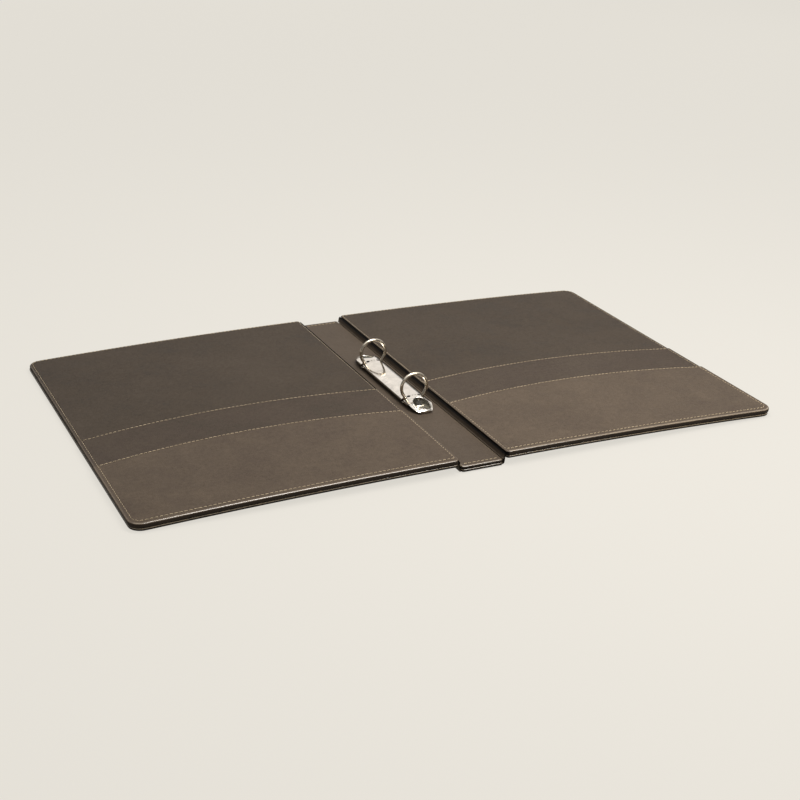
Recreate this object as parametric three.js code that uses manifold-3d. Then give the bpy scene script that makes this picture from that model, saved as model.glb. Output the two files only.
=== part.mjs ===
// A4 two-ring leather binder, lying open and flat. Millimetres, +Z up, +Y along the spine.
import * as THREE from "three";
import ManifoldModule from "manifold-3d";
import { mergeVertices, toCreasedNormals } from "three/addons/utils/BufferGeometryUtils.js";

const wasm = await ManifoldModule();
wasm.setup();

// ---- covers and spine, in plan ----
const HEIGHT = 318; // along the spine
const COVER_WIDTH = 246;
const COVER_INNER_X = 20; // inner edge of a cover, from the centre line
const COVER_LIFT = 4.9; // inner edge of a cover above the table; its outer edge rests on it
const COVER_ARCH = 1.4; // rise of a cover's middle above its two edges
const COVER_OUTER_RADIUS = 10;
const COVER_INNER_RADIUS = 2.75;
const SPINE_WIDTH = 34.8;
const SPINE_RADIUS = 2.5;

// ---- layers, as heights inside one panel ----
const LEATHER = 0.6;
const GAP = 0.1;
const OUTER_SHELL_TOP = 2.4;
const LINING_BOTTOM = OUTER_SHELL_TOP + GAP;
const LINING_TOP = 4.8;
const FLAP = 12; // leather turned in round a board
const EDGE = 0.22; // small bevel on every leather edge
const TALL_POCKET_BOTTOM = LINING_TOP + GAP;
const SHORT_POCKET_BOTTOM = TALL_POCKET_BOTTOM + LEATHER + GAP;

// ---- pockets: their top edges bow up towards the middle ----
const TALL_POCKET_END_Y = -13;
const TALL_POCKET_BOW = 10.3;
const SHORT_POCKET_END_Y = -61;
const SHORT_POCKET_BOW = 11;

// ---- leather hinges ----
const HINGE_END_Y = 157.2;

// ---- ring mechanism ----
const RING_Y = 40; // rings stand 80 mm apart
const RING_RADIUS = 11.1; // centre line of the wire
const RING_CENTRE_Z = 19.5;
const WIRE_RADIUS = 1.3;
const LEG_X = 8;
const LEG_STRAIGHT_Z = 11.9;
const RING_TIP_GAP = 0.12; // each half stops this far from the centre plane
const HOUSING_CROWN_Z = 12.4;
const HOUSING_ARC = 18.69; // radius of the arched top
const HOUSING_SHEET = 0.7;
const HOUSING_HALF_WIDTH = 10.15;
const HOUSING_LIP_Z = 8.3;
// both ends of the housing bend down; the drop bends in over four millimetres, then runs straight
const HOUSING_BEND_Y = 50;
const HOUSING_BEND_LENGTH = 4;
const HOUSING_END_SLOPE = 0.43;
// half of the plan outline of one end, as [half width, distance from the middle]
const HOUSING_END_OUTLINE = [
  [11, 49.4],
  [9.85, 50.8],
  [9.35, 54],
  [8.78, 56],
  [8.12, 58],
  [7.3, 60],
  [6.1, 61.9],
  [5.2, 62.8],
];
const NOTCH_X = 6.3;
const NOTCH_HALF = 1.9;
const PORT_X = 4.6; // oval opening beside each notch
const PORT_HALF_X = 1.2;
const PORT_HALF_Y = 1.05;
const DOT_X = 1.25;
const DOT_RADIUS = 0.34;
const RIVET_Y = 55.8;
const DISH_Y = 54.5; // the widest part of the cup in each end of the housing, standing on the spine lining
const DISH_HALF_X = 7;
const DISH_TO_RING = 9.1;
const DISH_TO_END = 7.7;
const DISH_WALL = 0.6;
const DISH_BOTTOM_Z = LINING_TOP + GAP;
const DISH_FLOOR_Z = 5.6;
const DISH_RIM = 0.3; // stands above the arched sheet
const SHANK_RADIUS = 2;
const SHANK_HOLE = 2.3;
const PIVOT_X = 9.2;
const PIVOT_Z = 8.3;
const LEAF_SLOPE = 12; // degrees down towards the middle when the rings are shut
const LEAF_HALF = 0.4; // half its sheet
const LEAF_REACH = 8.95; // from the pivot to the middle edge
const LEAF_HALF_LENGTH = 43.6;

const DEG = Math.PI / 180;
const STATIONS = [1, 2, 3, 4, 5, 6, 7].map((i) => (i * COVER_WIDTH) / 8);

const leatherDark = { color: 0x54493e, roughness: 0.55, metalness: 0 };
const leatherLining = { color: 0x5c5145, roughness: 0.6, metalness: 0 };
const leatherPocket = { color: 0x5f5447, roughness: 0.58, metalness: 0 };
const greyBoard = { color: 0x9a9284, roughness: 0.9, metalness: 0 };
const nickel = { color: 0xcfcfcb, roughness: 0.16, metalness: 1 };
const steel = { color: 0xb4b4b0, roughness: 0.32, metalness: 1 };

// ---------- solids ----------
function toSolid(geometry) {
  const bare = geometry.clone();
  bare.deleteAttribute("normal");
  bare.deleteAttribute("uv");
  const welded = mergeVertices(bare, 1e-5);
  const index = welded.index.array;
  const kept = [];
  for (let i = 0; i < index.length; i += 3) {
    const [a, b, c] = [index[i], index[i + 1], index[i + 2]];
    if (a !== b && b !== c && c !== a) {
      kept.push(a, b, c);
    }
  }
  const mesh = new wasm.Mesh({
    numProp: 3,
    vertProperties: new Float32Array(welded.attributes.position.array),
    triVerts: new Uint32Array(kept),
  });
  return new wasm.Manifold(mesh);
}

function toGeometry(solid) {
  const mesh = solid.getMesh();
  const geometry = new THREE.BufferGeometry();
  geometry.setAttribute("position", new THREE.BufferAttribute(mesh.vertProperties.slice(), 3));
  geometry.setIndex(new THREE.BufferAttribute(mesh.triVerts.slice(), 1));
  return geometry;
}

function cut(geometry, ...tools) {
  let solid = toSolid(geometry);
  for (const tool of tools) {
    solid = solid.subtract(toSolid(tool));
  }
  return toGeometry(solid);
}

function join(...geometries) {
  let solid = toSolid(geometries[0]);
  for (const other of geometries.slice(1)) {
    solid = solid.add(toSolid(other));
  }
  return toGeometry(solid);
}

function common(a, b) {
  return toGeometry(toSolid(a).intersect(toSolid(b)));
}

function part(name, geometry, finish, crease = 32) {
  const material = new THREE.MeshStandardMaterial(finish);
  material.name = `${name}_finish`;
  const mesh = new THREE.Mesh(toCreasedNormals(geometry, crease * DEG), material);
  mesh.name = name;
  return mesh;
}

// a flat outline in plan, raised from z0 to z1
function prism(points, z0, z1) {
  const shape = new THREE.Shape(points.map(([x, y]) => new THREE.Vector2(x, y)));
  const geometry = new THREE.ExtrudeGeometry(shape, { depth: z1 - z0, bevelEnabled: false });
  geometry.translate(0, 0, z0);
  return geometry;
}

// an outline in the XZ plane, run along Y
function runAlongY(points, y0, y1) {
  const geometry = prism(points, 0, y1 - y0);
  geometry.rotateX(Math.PI / 2);
  geometry.translate(0, y1, 0);
  return geometry;
}

function oval(cx, cy, rx, ry, count) {
  const points = [];
  for (let i = 0; i < count; i += 1) {
    const a = (i * 2 * Math.PI) / count;
    points.push([cx + rx * Math.cos(a), cy + ry * Math.sin(a)]);
  }
  return points;
}

// ---------- leather and board panels ----------
// The front chain of a panel runs from its x=0 edge to its x=width edge, round both corners.
function frontChain(panel, inset) {
  const r0 = Math.max(panel.r0 - inset, 0.5);
  const r1 = Math.max(panel.r1 - inset, 0.5);
  const y = -HEIGHT / 2 + inset;
  const chain = [];
  for (let i = 0; i <= panel.steps0; i += 1) {
    const a = ((180 + (90 * i) / panel.steps0) * Math.PI) / 180;
    chain.push([inset + r0 + r0 * Math.cos(a), y + r0 + r0 * Math.sin(a)]);
  }
  for (const x of panel.stations) {
    chain.push([x, y]);
  }
  for (let i = 0; i <= panel.steps1; i += 1) {
    const a = ((270 + (90 * i) / panel.steps1) * Math.PI) / 180;
    chain.push([panel.width - inset - r1 + r1 * Math.cos(a), y + r1 + r1 * Math.sin(a)]);
  }
  return chain;
}

function backChain(panel, inset, front) {
  return front.map(([x, y]) => [x, panel.back ? panel.back(x) - inset : -y]);
}

// Rings of [inset, height] from the bottom face to the top face, closed by a cap at each end.
function panelSolid(panel, rings) {
  const positions = [];
  const index = [];
  let n = 0;
  for (const [inset, height] of rings) {
    const front = frontChain(panel, inset);
    const back = backChain(panel, inset, front);
    n = front.length;
    for (const [x, y] of [...front, ...back.reverse()]) {
      positions.push(x, y, height + panel.arch(x));
    }
  }
  const loop = 2 * n;
  for (let k = 0; k + 1 < rings.length; k += 1) {
    for (let i = 0; i < loop; i += 1) {
      const a = k * loop + i;
      const b = k * loop + ((i + 1) % loop);
      index.push(a, b, b + loop, a, b + loop, a + loop);
    }
  }
  const last = (rings.length - 1) * loop;
  for (let i = 0; i + 1 < n; i += 1) {
    const j = loop - 1 - i;
    index.push(i, j, j - 1, i, j - 1, i + 1);
    index.push(last + i, last + i + 1, last + j - 1, last + i, last + j - 1, last + j);
  }
  const geometry = new THREE.BufferGeometry();
  geometry.setAttribute("position", new THREE.Float32BufferAttribute(positions, 3));
  geometry.setIndex(index);
  return geometry;
}

const coverPanel = {
  width: COVER_WIDTH,
  r0: COVER_INNER_RADIUS,
  r1: COVER_OUTER_RADIUS,
  steps0: 4,
  steps1: 7,
  stations: STATIONS,
  arch: (x) => COVER_ARCH * (1 - ((2 * x) / COVER_WIDTH - 1) ** 2),
};

const spinePanel = {
  width: SPINE_WIDTH,
  r0: SPINE_RADIUS,
  r1: SPINE_RADIUS,
  steps0: 4,
  steps1: 4,
  stations: [SPINE_WIDTH / 2],
  arch: () => 0,
};

function pocketPanel(endY, bow) {
  const bowAt = (x) => endY + bow * (1 - ((2 * x) / COVER_WIDTH - 1) ** 2);
  return { ...coverPanel, back: bowAt };
}

// leather wrapped up and over the edge of a board, open above
function outerShell(panel) {
  return panelSolid(panel, [
    [EDGE, 0],
    [0, EDGE],
    [0, OUTER_SHELL_TOP - EDGE],
    [EDGE, OUTER_SHELL_TOP],
    [FLAP, OUTER_SHELL_TOP],
    [FLAP, OUTER_SHELL_TOP - LEATHER],
    [LEATHER, OUTER_SHELL_TOP - LEATHER],
    [LEATHER, LEATHER],
  ]);
}

// leather wrapped down and under the edge of a board, open below
function liningShell(panel) {
  return panelSolid(panel, [
    [LEATHER, LINING_TOP - LEATHER],
    [LEATHER, LINING_BOTTOM + LEATHER],
    [FLAP, LINING_BOTTOM + LEATHER],
    [FLAP, LINING_BOTTOM],
    [EDGE, LINING_BOTTOM],
    [0, LINING_BOTTOM + EDGE],
    [0, LINING_TOP - EDGE],
    [EDGE, LINING_TOP],
  ]);
}

function stiffBoard(panel, bottom, top) {
  const inset = LEATHER + GAP;
  return panelSolid(panel, [
    [inset, bottom],
    [inset, top],
  ]);
}

function flatPocket(panel, bottom) {
  const bevel = 0.18;
  return panelSolid(panel, [
    [bevel, bottom],
    [0, bottom + bevel],
    [0, bottom + LEATHER - bevel],
    [bevel, bottom + LEATHER],
  ]);
}

const outerBoardOf = (panel) => stiffBoard(panel, LEATHER + GAP, OUTER_SHELL_TOP - LEATHER - GAP);
const innerBoardOf = (panel) =>
  stiffBoard(panel, LINING_BOTTOM + LEATHER + GAP, LINING_TOP - LEATHER - GAP);

// ---------- leather hinges ----------
// a strip of leather whose section follows a centre line of [x, z] points
function strip(line, half) {
  const left = [];
  const right = [];
  for (let i = 0; i < line.length; i += 1) {
    const before = line[Math.max(i - 1, 0)];
    const after = line[Math.min(i + 1, line.length - 1)];
    const dx = after[0] - before[0];
    const dz = after[1] - before[1];
    const run = Math.hypot(dx, dz);
    left.push([line[i][0] - (half * dz) / run, line[i][1] + (half * dx) / run]);
    right.push([line[i][0] + (half * dz) / run, line[i][1] - (half * dx) / run]);
  }
  return [...right, ...left.reverse()];
}

const outerHingeLine = [
  [17.56, 0.33],
  [18.15, 0.42],
  [18.62, 0.8],
  [18.92, 1.5],
  [19.08, 2.6],
  [19.2, 3.9],
  [19.38, 5.2],
  [19.5, 6.5],
];
const liningHingeLine = [
  [17.56, 4.5],
  [17.92, 4.68],
  [18.18, 5.2],
  [18.32, 6.1],
  [18.46, 7.1],
  [18.72, 7.9],
  [19.2, 8.45],
  [19.74, 8.72],
];

const mirrored = (points) => points.map(([x, z]) => [-x, z]).reverse();

function hingeStrip(line, side) {
  const section = strip(line, LEATHER / 2 - 0.02);
  return runAlongY(side > 0 ? section : mirrored(section), -HINGE_END_Y, HINGE_END_Y);
}

// ---------- ring mechanism ----------
const arcZ = (radius, x) => HOUSING_CROWN_Z - HOUSING_ARC + Math.sqrt(radius ** 2 - x ** 2);

function archPoints(radius, halfWidth, rise, count) {
  const points = [];
  for (let i = 0; i <= count; i += 1) {
    const x = -halfWidth + (2 * halfWidth * i) / count;
    points.push([x, arcZ(radius, x) + rise]);
  }
  return points;
}

// how far the housing has bent down at y
function housingDrop(y) {
  const t = Math.abs(y) - HOUSING_BEND_Y;
  if (t <= 0) {
    return 0;
  }
  const bend = HOUSING_BEND_LENGTH;
  return HOUSING_END_SLOPE * (t < bend ? t ** 2 / (2 * bend) : t - bend / 2);
}

// an outline in the XZ plane, run along the housing and bent down with its ends
function runAlongHousing(points) {
  const half = [HOUSING_BEND_Y, 51, 52, 53, HOUSING_BEND_Y + HOUSING_BEND_LENGTH, 64];
  const stations = [...half.map((y) => -y).reverse(), ...half];
  const shape = new THREE.Shape(points.map(([x, z]) => new THREE.Vector2(x, z)));
  const spans = stations.length - 1;
  const options = { depth: spans, steps: spans, bevelEnabled: false };
  const geometry = new THREE.ExtrudeGeometry(shape, options);
  geometry.rotateX(Math.PI / 2);
  geometry.translate(0, spans, 0);
  const position = geometry.attributes.position;
  for (let i = 0; i < position.count; i += 1) {
    const y = stations[Math.round(position.getY(i))];
    position.setY(i, y);
    position.setZ(i, position.getZ(i) - housingDrop(y));
  }
  return geometry;
}

function housingSheet() {
  const top = archPoints(HOUSING_ARC, 9.7, 0, 14).reverse();
  const under = archPoints(HOUSING_ARC - HOUSING_SHEET, 9.4, 0, 14);
  const w = HOUSING_HALF_WIDTH;
  const leftLip = [[-w + 0.12, 9.45], [-w, 9.15], [-w, HOUSING_LIP_Z], [-w + 0.4, HOUSING_LIP_Z]];
  const rightLip = [[w - 0.4, HOUSING_LIP_Z], [w, HOUSING_LIP_Z], [w, 9.15], [w - 0.12, 9.45]];
  const section = [...top, ...leftLip, [-w + 0.4, 8.75], ...under, [w - 0.4, 8.75], ...rightLip];
  return runAlongHousing(section);
}

function housingPlan() {
  const back = HOUSING_END_OUTLINE;
  const right = [...back.map(([x, y]) => [x, -y]).reverse(), ...back];
  const left = right.map(([x, y]) => [-x, -y]);
  return prism([...right, ...left], 0, 20);
}

// an egg: round towards the ring, blunter towards the housing's end
function cupOutline(side, inset) {
  const points = [];
  const count = 40;
  for (let i = 0; i < count; i += 1) {
    const a = (i * 2 * Math.PI) / count;
    const outward = side * Math.sin(a) > 0;
    const power = outward ? 2 / 3 : 1;
    const reach = (outward ? DISH_TO_END : DISH_TO_RING) - inset;
    const x = Math.sign(Math.cos(a)) * Math.abs(Math.cos(a)) ** power * (DISH_HALF_X - inset);
    const y = Math.sign(Math.sin(a)) * Math.abs(Math.sin(a)) ** power * reach;
    points.push([x, side * DISH_Y + y]);
  }
  return points;
}

function rivetDish(side) {
  const cup = prism(cupOutline(side, 0), DISH_BOTTOM_Z, 15);
  const crown = archPoints(HOUSING_ARC, 7.6, DISH_RIM, 12);
  const under = runAlongHousing([[-7.6, -5], [7.6, -5], ...crown.reverse()]);
  return cut(common(cup, under), prism(cupOutline(side, DISH_WALL), DISH_FLOOR_Z, 16));
}

function ringHousing() {
  const middle = DISH_WALL / 2;
  const openings = [];
  for (const side of [-1, 1]) {
    openings.push(prism(cupOutline(side, middle), 0, 20));
  }
  const sheet = cut(common(housingSheet(), housingPlan()), ...openings);
  const body = join(sheet, rivetDish(-1), rivetDish(1));
  const holes = [];
  for (const s of [-1, 1]) {
    holes.push(prism(oval(0, s * RIVET_Y, SHANK_HOLE, SHANK_HOLE, 20), 0, 20));
    for (const side of [-1, 1]) {
      const notch = [[NOTCH_X, -NOTCH_HALF], [12, -NOTCH_HALF], [12, NOTCH_HALF], [NOTCH_X, NOTCH_HALF]];
      const placed = notch.map(([x, y]) => [side * x, s * RING_Y + side * y]);
      holes.push(prism(placed, 5, 20));
      holes.push(prism(oval(side * PORT_X, s * RING_Y, PORT_HALF_X, PORT_HALF_Y, 16), 5, 20));
      holes.push(prism(oval(side * DOT_X, s * RING_Y, DOT_RADIUS, DOT_RADIUS, 8), 5, 20));
    }
  }
  return cut(body, ...holes);
}

// a wide foot under the inner board, a shank through the lining and a low round head in the cup
function rivet(y) {
  const head = DISH_FLOOR_Z + 0.1;
  const profile = [
    [0, 1.9],
    [3.9, 1.9],
    [3.9, 3.08],
    [SHANK_RADIUS, 3.08],
    [SHANK_RADIUS, head],
    [3.5, head],
    [3.6, head + 0.25],
    [3.42, head + 0.6],
    [2.9, head + 1.02],
    [2.05, head + 1.4],
    [1.05, head + 1.64],
    [0, head + 1.72],
  ];
  const geometry = new THREE.LatheGeometry(profile.map(([r, z]) => new THREE.Vector2(r, z)), 24);
  geometry.rotateX(Math.PI / 2);
  geometry.translate(0, y, 0);
  return toGeometry(toSolid(geometry));
}

// the flat leaf a pair of half rings stands on, drawn for the +X side
function ringLeaf() {
  const y = LEAF_HALF_LENGTH;
  const plan = [[-LEAF_REACH, -y], [0.3, -y], [0.3, y], [-LEAF_REACH, y]];
  const leaf = prism(plan, -LEAF_HALF, LEAF_HALF);
  leaf.rotateY(-LEAF_SLOPE * DEG);
  leaf.translate(PIVOT_X, 0, PIVOT_Z);
  const holes = [-RING_Y, RING_Y].map((y) => prism(oval(LEG_X, y, 1.6, 1.6, 16), 5, 12));
  return cut(leaf, ...holes);
}

function ringPath() {
  const points = [];
  const headZ = PIVOT_Z - (PIVOT_X - LEG_X) * Math.tan(LEAF_SLOPE * DEG) - LEAF_HALF - 0.3;
  points.push(new THREE.Vector3(LEG_X, 0, headZ));
  points.push(new THREE.Vector3(LEG_X, 0, 9.4));
  points.push(new THREE.Vector3(LEG_X + 0.12, 0, LEG_STRAIGHT_Z - 1));
  for (let angle = -38; angle < 85; angle += 12) {
    const c = Math.cos(angle * DEG);
    const s = Math.sin(angle * DEG);
    points.push(new THREE.Vector3(RING_RADIUS * c, 0, RING_CENTRE_Z + RING_RADIUS * s));
  }
  const last = Math.acos(RING_TIP_GAP / RING_RADIUS);
  const tip = RING_CENTRE_Z + RING_RADIUS * Math.sin(last);
  points.push(new THREE.Vector3(RING_TIP_GAP, 0, tip));
  return new THREE.CatmullRomCurve3(points, false, "centripetal");
}

function halfRing(y) {
  const round = oval(0, 0, WIRE_RADIUS, WIRE_RADIUS, 12);
  const wire = new THREE.Shape(round.map(([u, v]) => new THREE.Vector2(u, v)));
  const steps = { steps: 26, bevelEnabled: false, extrudePath: ringPath() };
  const geometry = new THREE.ExtrudeGeometry(wire, steps);
  const plane = [[RING_TIP_GAP, 0], [20, 0], [20, 40], [RING_TIP_GAP, 40]];
  const half = common(geometry, runAlongY(plane, -5, 5));
  const peened = prism(oval(0, 0, 2.1, 2.1, 16), -LEAF_HALF - 0.65, -LEAF_HALF - 0.1);
  peened.rotateY(-LEAF_SLOPE * DEG);
  peened.translate(LEG_X, 0, PIVOT_Z - (PIVOT_X - LEG_X) * Math.tan(LEAF_SLOPE * DEG));
  const whole = join(half, peened);
  whole.translate(0, y, 0);
  return whole;
}

function otherSide(geometry) {
  const flipped = geometry.clone();
  const position = flipped.attributes.position;
  for (let i = 0; i < position.count; i += 1) {
    position.setX(i, -position.getX(i));
  }
  const index = flipped.index.array;
  for (let i = 0; i < index.length; i += 3) {
    const first = index[i];
    index[i] = index[i + 1];
    index[i + 1] = first;
  }
  return flipped;
}

// ---------- assembly ----------
function buildSpine() {
  const spine = new THREE.Group();
  spine.name = "spine";
  const holes = () =>
    [-RIVET_Y, RIVET_Y].map((y) => prism(oval(SPINE_WIDTH / 2, y, SHANK_HOLE, SHANK_HOLE, 20), 2.45, 9));
  const panels = [
    part("spine_outer_leather", outerShell(spinePanel), leatherDark),
    part("spine_board", outerBoardOf(spinePanel), greyBoard),
    part("spine_inner_board", cut(innerBoardOf(spinePanel), ...holes()), greyBoard),
    part("spine_lining", cut(liningShell(spinePanel), ...holes()), leatherLining),
  ];
  for (const mesh of panels) {
    mesh.position.x = -SPINE_WIDTH / 2;
    spine.add(mesh);
  }
  spine.add(part("ring_housing", ringHousing(), nickel, 28));
  spine.add(part("rivet_front", rivet(-RIVET_Y), nickel, 40));
  spine.add(part("rivet_back", rivet(RIVET_Y), nickel, 40));
  for (const [label, side] of [["left", -1], ["right", 1]]) {
    const outer = hingeStrip(outerHingeLine, side);
    const lining = hingeStrip(liningHingeLine, side);
    spine.add(part(`${label}_hinge_outer_leather`, outer, leatherDark, 50));
    spine.add(part(`${label}_hinge_lining`, lining, leatherLining, 50));
  }
  return spine;
}

function buildCover(label, side) {
  const cover = new THREE.Group();
  cover.name = `${label}_cover`;
  const place = (geometry) => {
    const solid = geometry;
    solid.rotateY(Math.asin(COVER_LIFT / COVER_WIDTH));
    solid.translate(COVER_INNER_X, 0, COVER_LIFT);
    return side > 0 ? solid : otherSide(solid);
  };
  const tall = pocketPanel(TALL_POCKET_END_Y, TALL_POCKET_BOW);
  const short = pocketPanel(SHORT_POCKET_END_Y, SHORT_POCKET_BOW);
  cover.add(part(`${label}_cover_outer_leather`, place(outerShell(coverPanel)), leatherDark));
  cover.add(part(`${label}_cover_outer_board`, place(outerBoardOf(coverPanel)), greyBoard));
  cover.add(part(`${label}_cover_inner_board`, place(innerBoardOf(coverPanel)), greyBoard));
  cover.add(part(`${label}_cover_lining`, place(liningShell(coverPanel)), leatherLining));
  cover.add(part(`${label}_tall_pocket`, place(flatPocket(tall, TALL_POCKET_BOTTOM)), leatherPocket));
  cover.add(part(`${label}_short_pocket`, place(flatPocket(short, SHORT_POCKET_BOTTOM)), leatherPocket));
  return cover;
}

function buildRingSide(label, side) {
  const half = new THREE.Group();
  half.name = `${label}_ring_side`;
  const place = (geometry) => (side > 0 ? geometry : otherSide(geometry));
  half.add(part(`${label}_ring_leaf`, place(ringLeaf()), steel));
  half.add(part(`${label}_half_ring_front`, place(halfRing(-RING_Y)), nickel, 45));
  half.add(part(`${label}_half_ring_back`, place(halfRing(RING_Y)), nickel, 45));
  return half;
}

const group = new THREE.Group();
group.name = "leather_ring_binder";
group.add(buildSpine());
group.add(buildCover("left", -1));
group.add(buildCover("right", 1));
group.add(buildRingSide("left", -1));
group.add(buildRingSide("right", 1));

export default group;
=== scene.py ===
import math
from contextlib import contextmanager

import bmesh
import bpy
import numpy as np
from mathutils import Matrix, Vector


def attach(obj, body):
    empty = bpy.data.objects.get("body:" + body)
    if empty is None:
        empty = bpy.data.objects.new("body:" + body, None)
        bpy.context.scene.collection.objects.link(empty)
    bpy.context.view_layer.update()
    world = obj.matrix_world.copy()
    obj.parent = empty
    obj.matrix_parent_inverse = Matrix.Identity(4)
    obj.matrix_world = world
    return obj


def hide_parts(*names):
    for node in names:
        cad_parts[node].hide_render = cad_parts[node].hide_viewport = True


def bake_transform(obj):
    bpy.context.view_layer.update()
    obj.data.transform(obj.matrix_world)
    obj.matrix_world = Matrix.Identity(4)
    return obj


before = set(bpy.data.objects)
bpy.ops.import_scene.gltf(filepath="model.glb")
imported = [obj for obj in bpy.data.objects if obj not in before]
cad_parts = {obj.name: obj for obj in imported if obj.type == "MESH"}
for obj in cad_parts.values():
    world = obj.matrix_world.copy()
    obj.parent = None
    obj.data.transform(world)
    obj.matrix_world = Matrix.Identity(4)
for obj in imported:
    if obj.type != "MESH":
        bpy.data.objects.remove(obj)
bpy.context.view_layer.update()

MM = 0.001

# ---------------------------------------------------------------- sizes, mm, as in the CAD
HEIGHT = 318.0
COVER_W = 246.0
COVER_X = 20.0
LIFT = 4.9
ARCH = 1.4
TILT = math.asin(LIFT / COVER_W)
OUTER_RADIUS, GUTTER_RADIUS = 10.0, 2.75  # a cover's corners
SPINE_W = 34.8
SPINE_RADIUS = 2.5
SPINE_TOP = 4.8
SEAM_IN = 4.4  # border seam, in from the front rim
SEAM_IN_BACK, SEAM_IN_OUTER, SEAM_IN_GUTTER = 2.4, 3.0, 1.4
SEAM_IN_OUTSIDE = 4.5  # the same on the outside of a cover, all round
SEAM_RADIUS = 6.5
SEAM_BOX = (SEAM_IN_GUTTER, COVER_W - SEAM_IN_OUTER, -HEIGHT / 2 + SEAM_IN, HEIGHT / 2 - SEAM_IN_BACK)
PITCH = 3.45  # stitch to stitch
STITCH_LENGTH = 2.7
TALL = (-13.0, 10.3)  # a pocket's edge: y at its ends, and how far its middle bows back
SHORT = (-61.0, 11.0)
TALL_LIFT, SHORT_LIFT = 0.28, 0.38  # how far a pocket's edge stands off in the middle
EDGE_TO_SEAM = 1.35
OUTER_SHEET, LINING_SHEET, POCKET_SHEET = 0.45, 0.42, 0.4
SEAM_DRAW, POCKET_DRAW, END_DRAW = (0.24, 0.42), (0.24, 0.45), (0.26, 0.6)  # valleys: depth, half width
LIFT_FADE = 14.0  # over this length below its edge a pocket lies down
LINING_TOP, TALL_TOP, SHORT_TOP = 4.82, 5.42, 6.06  # heights over a cover's underside
HINGE_END = 157.2
RING_Y = 40.0
RING_RADIUS, RING_Z = 11.1, 19.5
WIRE_RADIUS = 1.3
LEG_X = 8.0
PIVOT_X, PIVOT_Z, LEAF_SLOPE = 9.2, 8.3, 12.0
PLATE_CROWN, PLATE_ARC = 12.4, 18.69  # height of the plate's middle and radius of its arched top
PLATE_BEND_Y, PLATE_BEND_LENGTH, PLATE_END_SLOPE = 50.0, 4.0, 0.43
PLATE_SHEET = 0.45  # clear of the swinging leaves
RIVET_Y = 55.8
DISH_Y, DISH_X_HALF, DISH_TO_RING, DISH_TO_END = 54.5, 7.0, 9.1, 7.7


def new_object(name, data):
    ob = bpy.data.objects.new(name, data)
    bpy.context.scene.collection.objects.link(ob)
    return ob


# ---------------------------------------------------------------- camera
CAMERA_AT = (-0.4912, -1.02871, 0.48155)
CAMERA_AZIMUTH, CAMERA_ELEVATION, CAMERA_ROLL = -25.85, 23.24, 1.73  # degrees
CAMERA_SENSOR, CAMERA_LENS = 36.0, 67.2939  # mm


def set_camera():
    a, e, r = (math.radians(x) for x in (CAMERA_AZIMUTH, CAMERA_ELEVATION, CAMERA_ROLL))
    fwd = Vector((-math.sin(a) * math.cos(e), math.cos(a) * math.cos(e), -math.sin(e)))
    right = Vector((math.cos(a), math.sin(a), 0))
    up = right.cross(fwd)
    r2 = math.cos(r) * right + math.sin(r) * up
    u2 = -math.sin(r) * right + math.cos(r) * up
    cam = new_object("camera", bpy.data.cameras.new("camera"))
    m = Matrix((r2, u2, -fwd)).transposed().to_4x4()
    m.translation = Vector(CAMERA_AT)
    cam.matrix_world = m
    cam.data.sensor_width = CAMERA_SENSOR
    cam.data.lens = CAMERA_LENS
    cam.data.clip_start, cam.data.clip_end = 0.01, 50.0
    bpy.context.scene.camera = cam


set_camera()
bpy.context.scene.view_settings.view_transform = "Standard"
bpy.context.scene.view_settings.look = "None"

# ---------------------------------------------------------------- materials
def srgb(r, g, b):
    """A colour from its screen values, 0 to 255."""
    out = []
    for c in (r, g, b):
        c = c / 255.0
        out.append(c / 12.92 if c <= 0.04045 else ((c + 0.055) / 1.055) ** 2.4)
    return (*out, 1.0)


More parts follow.
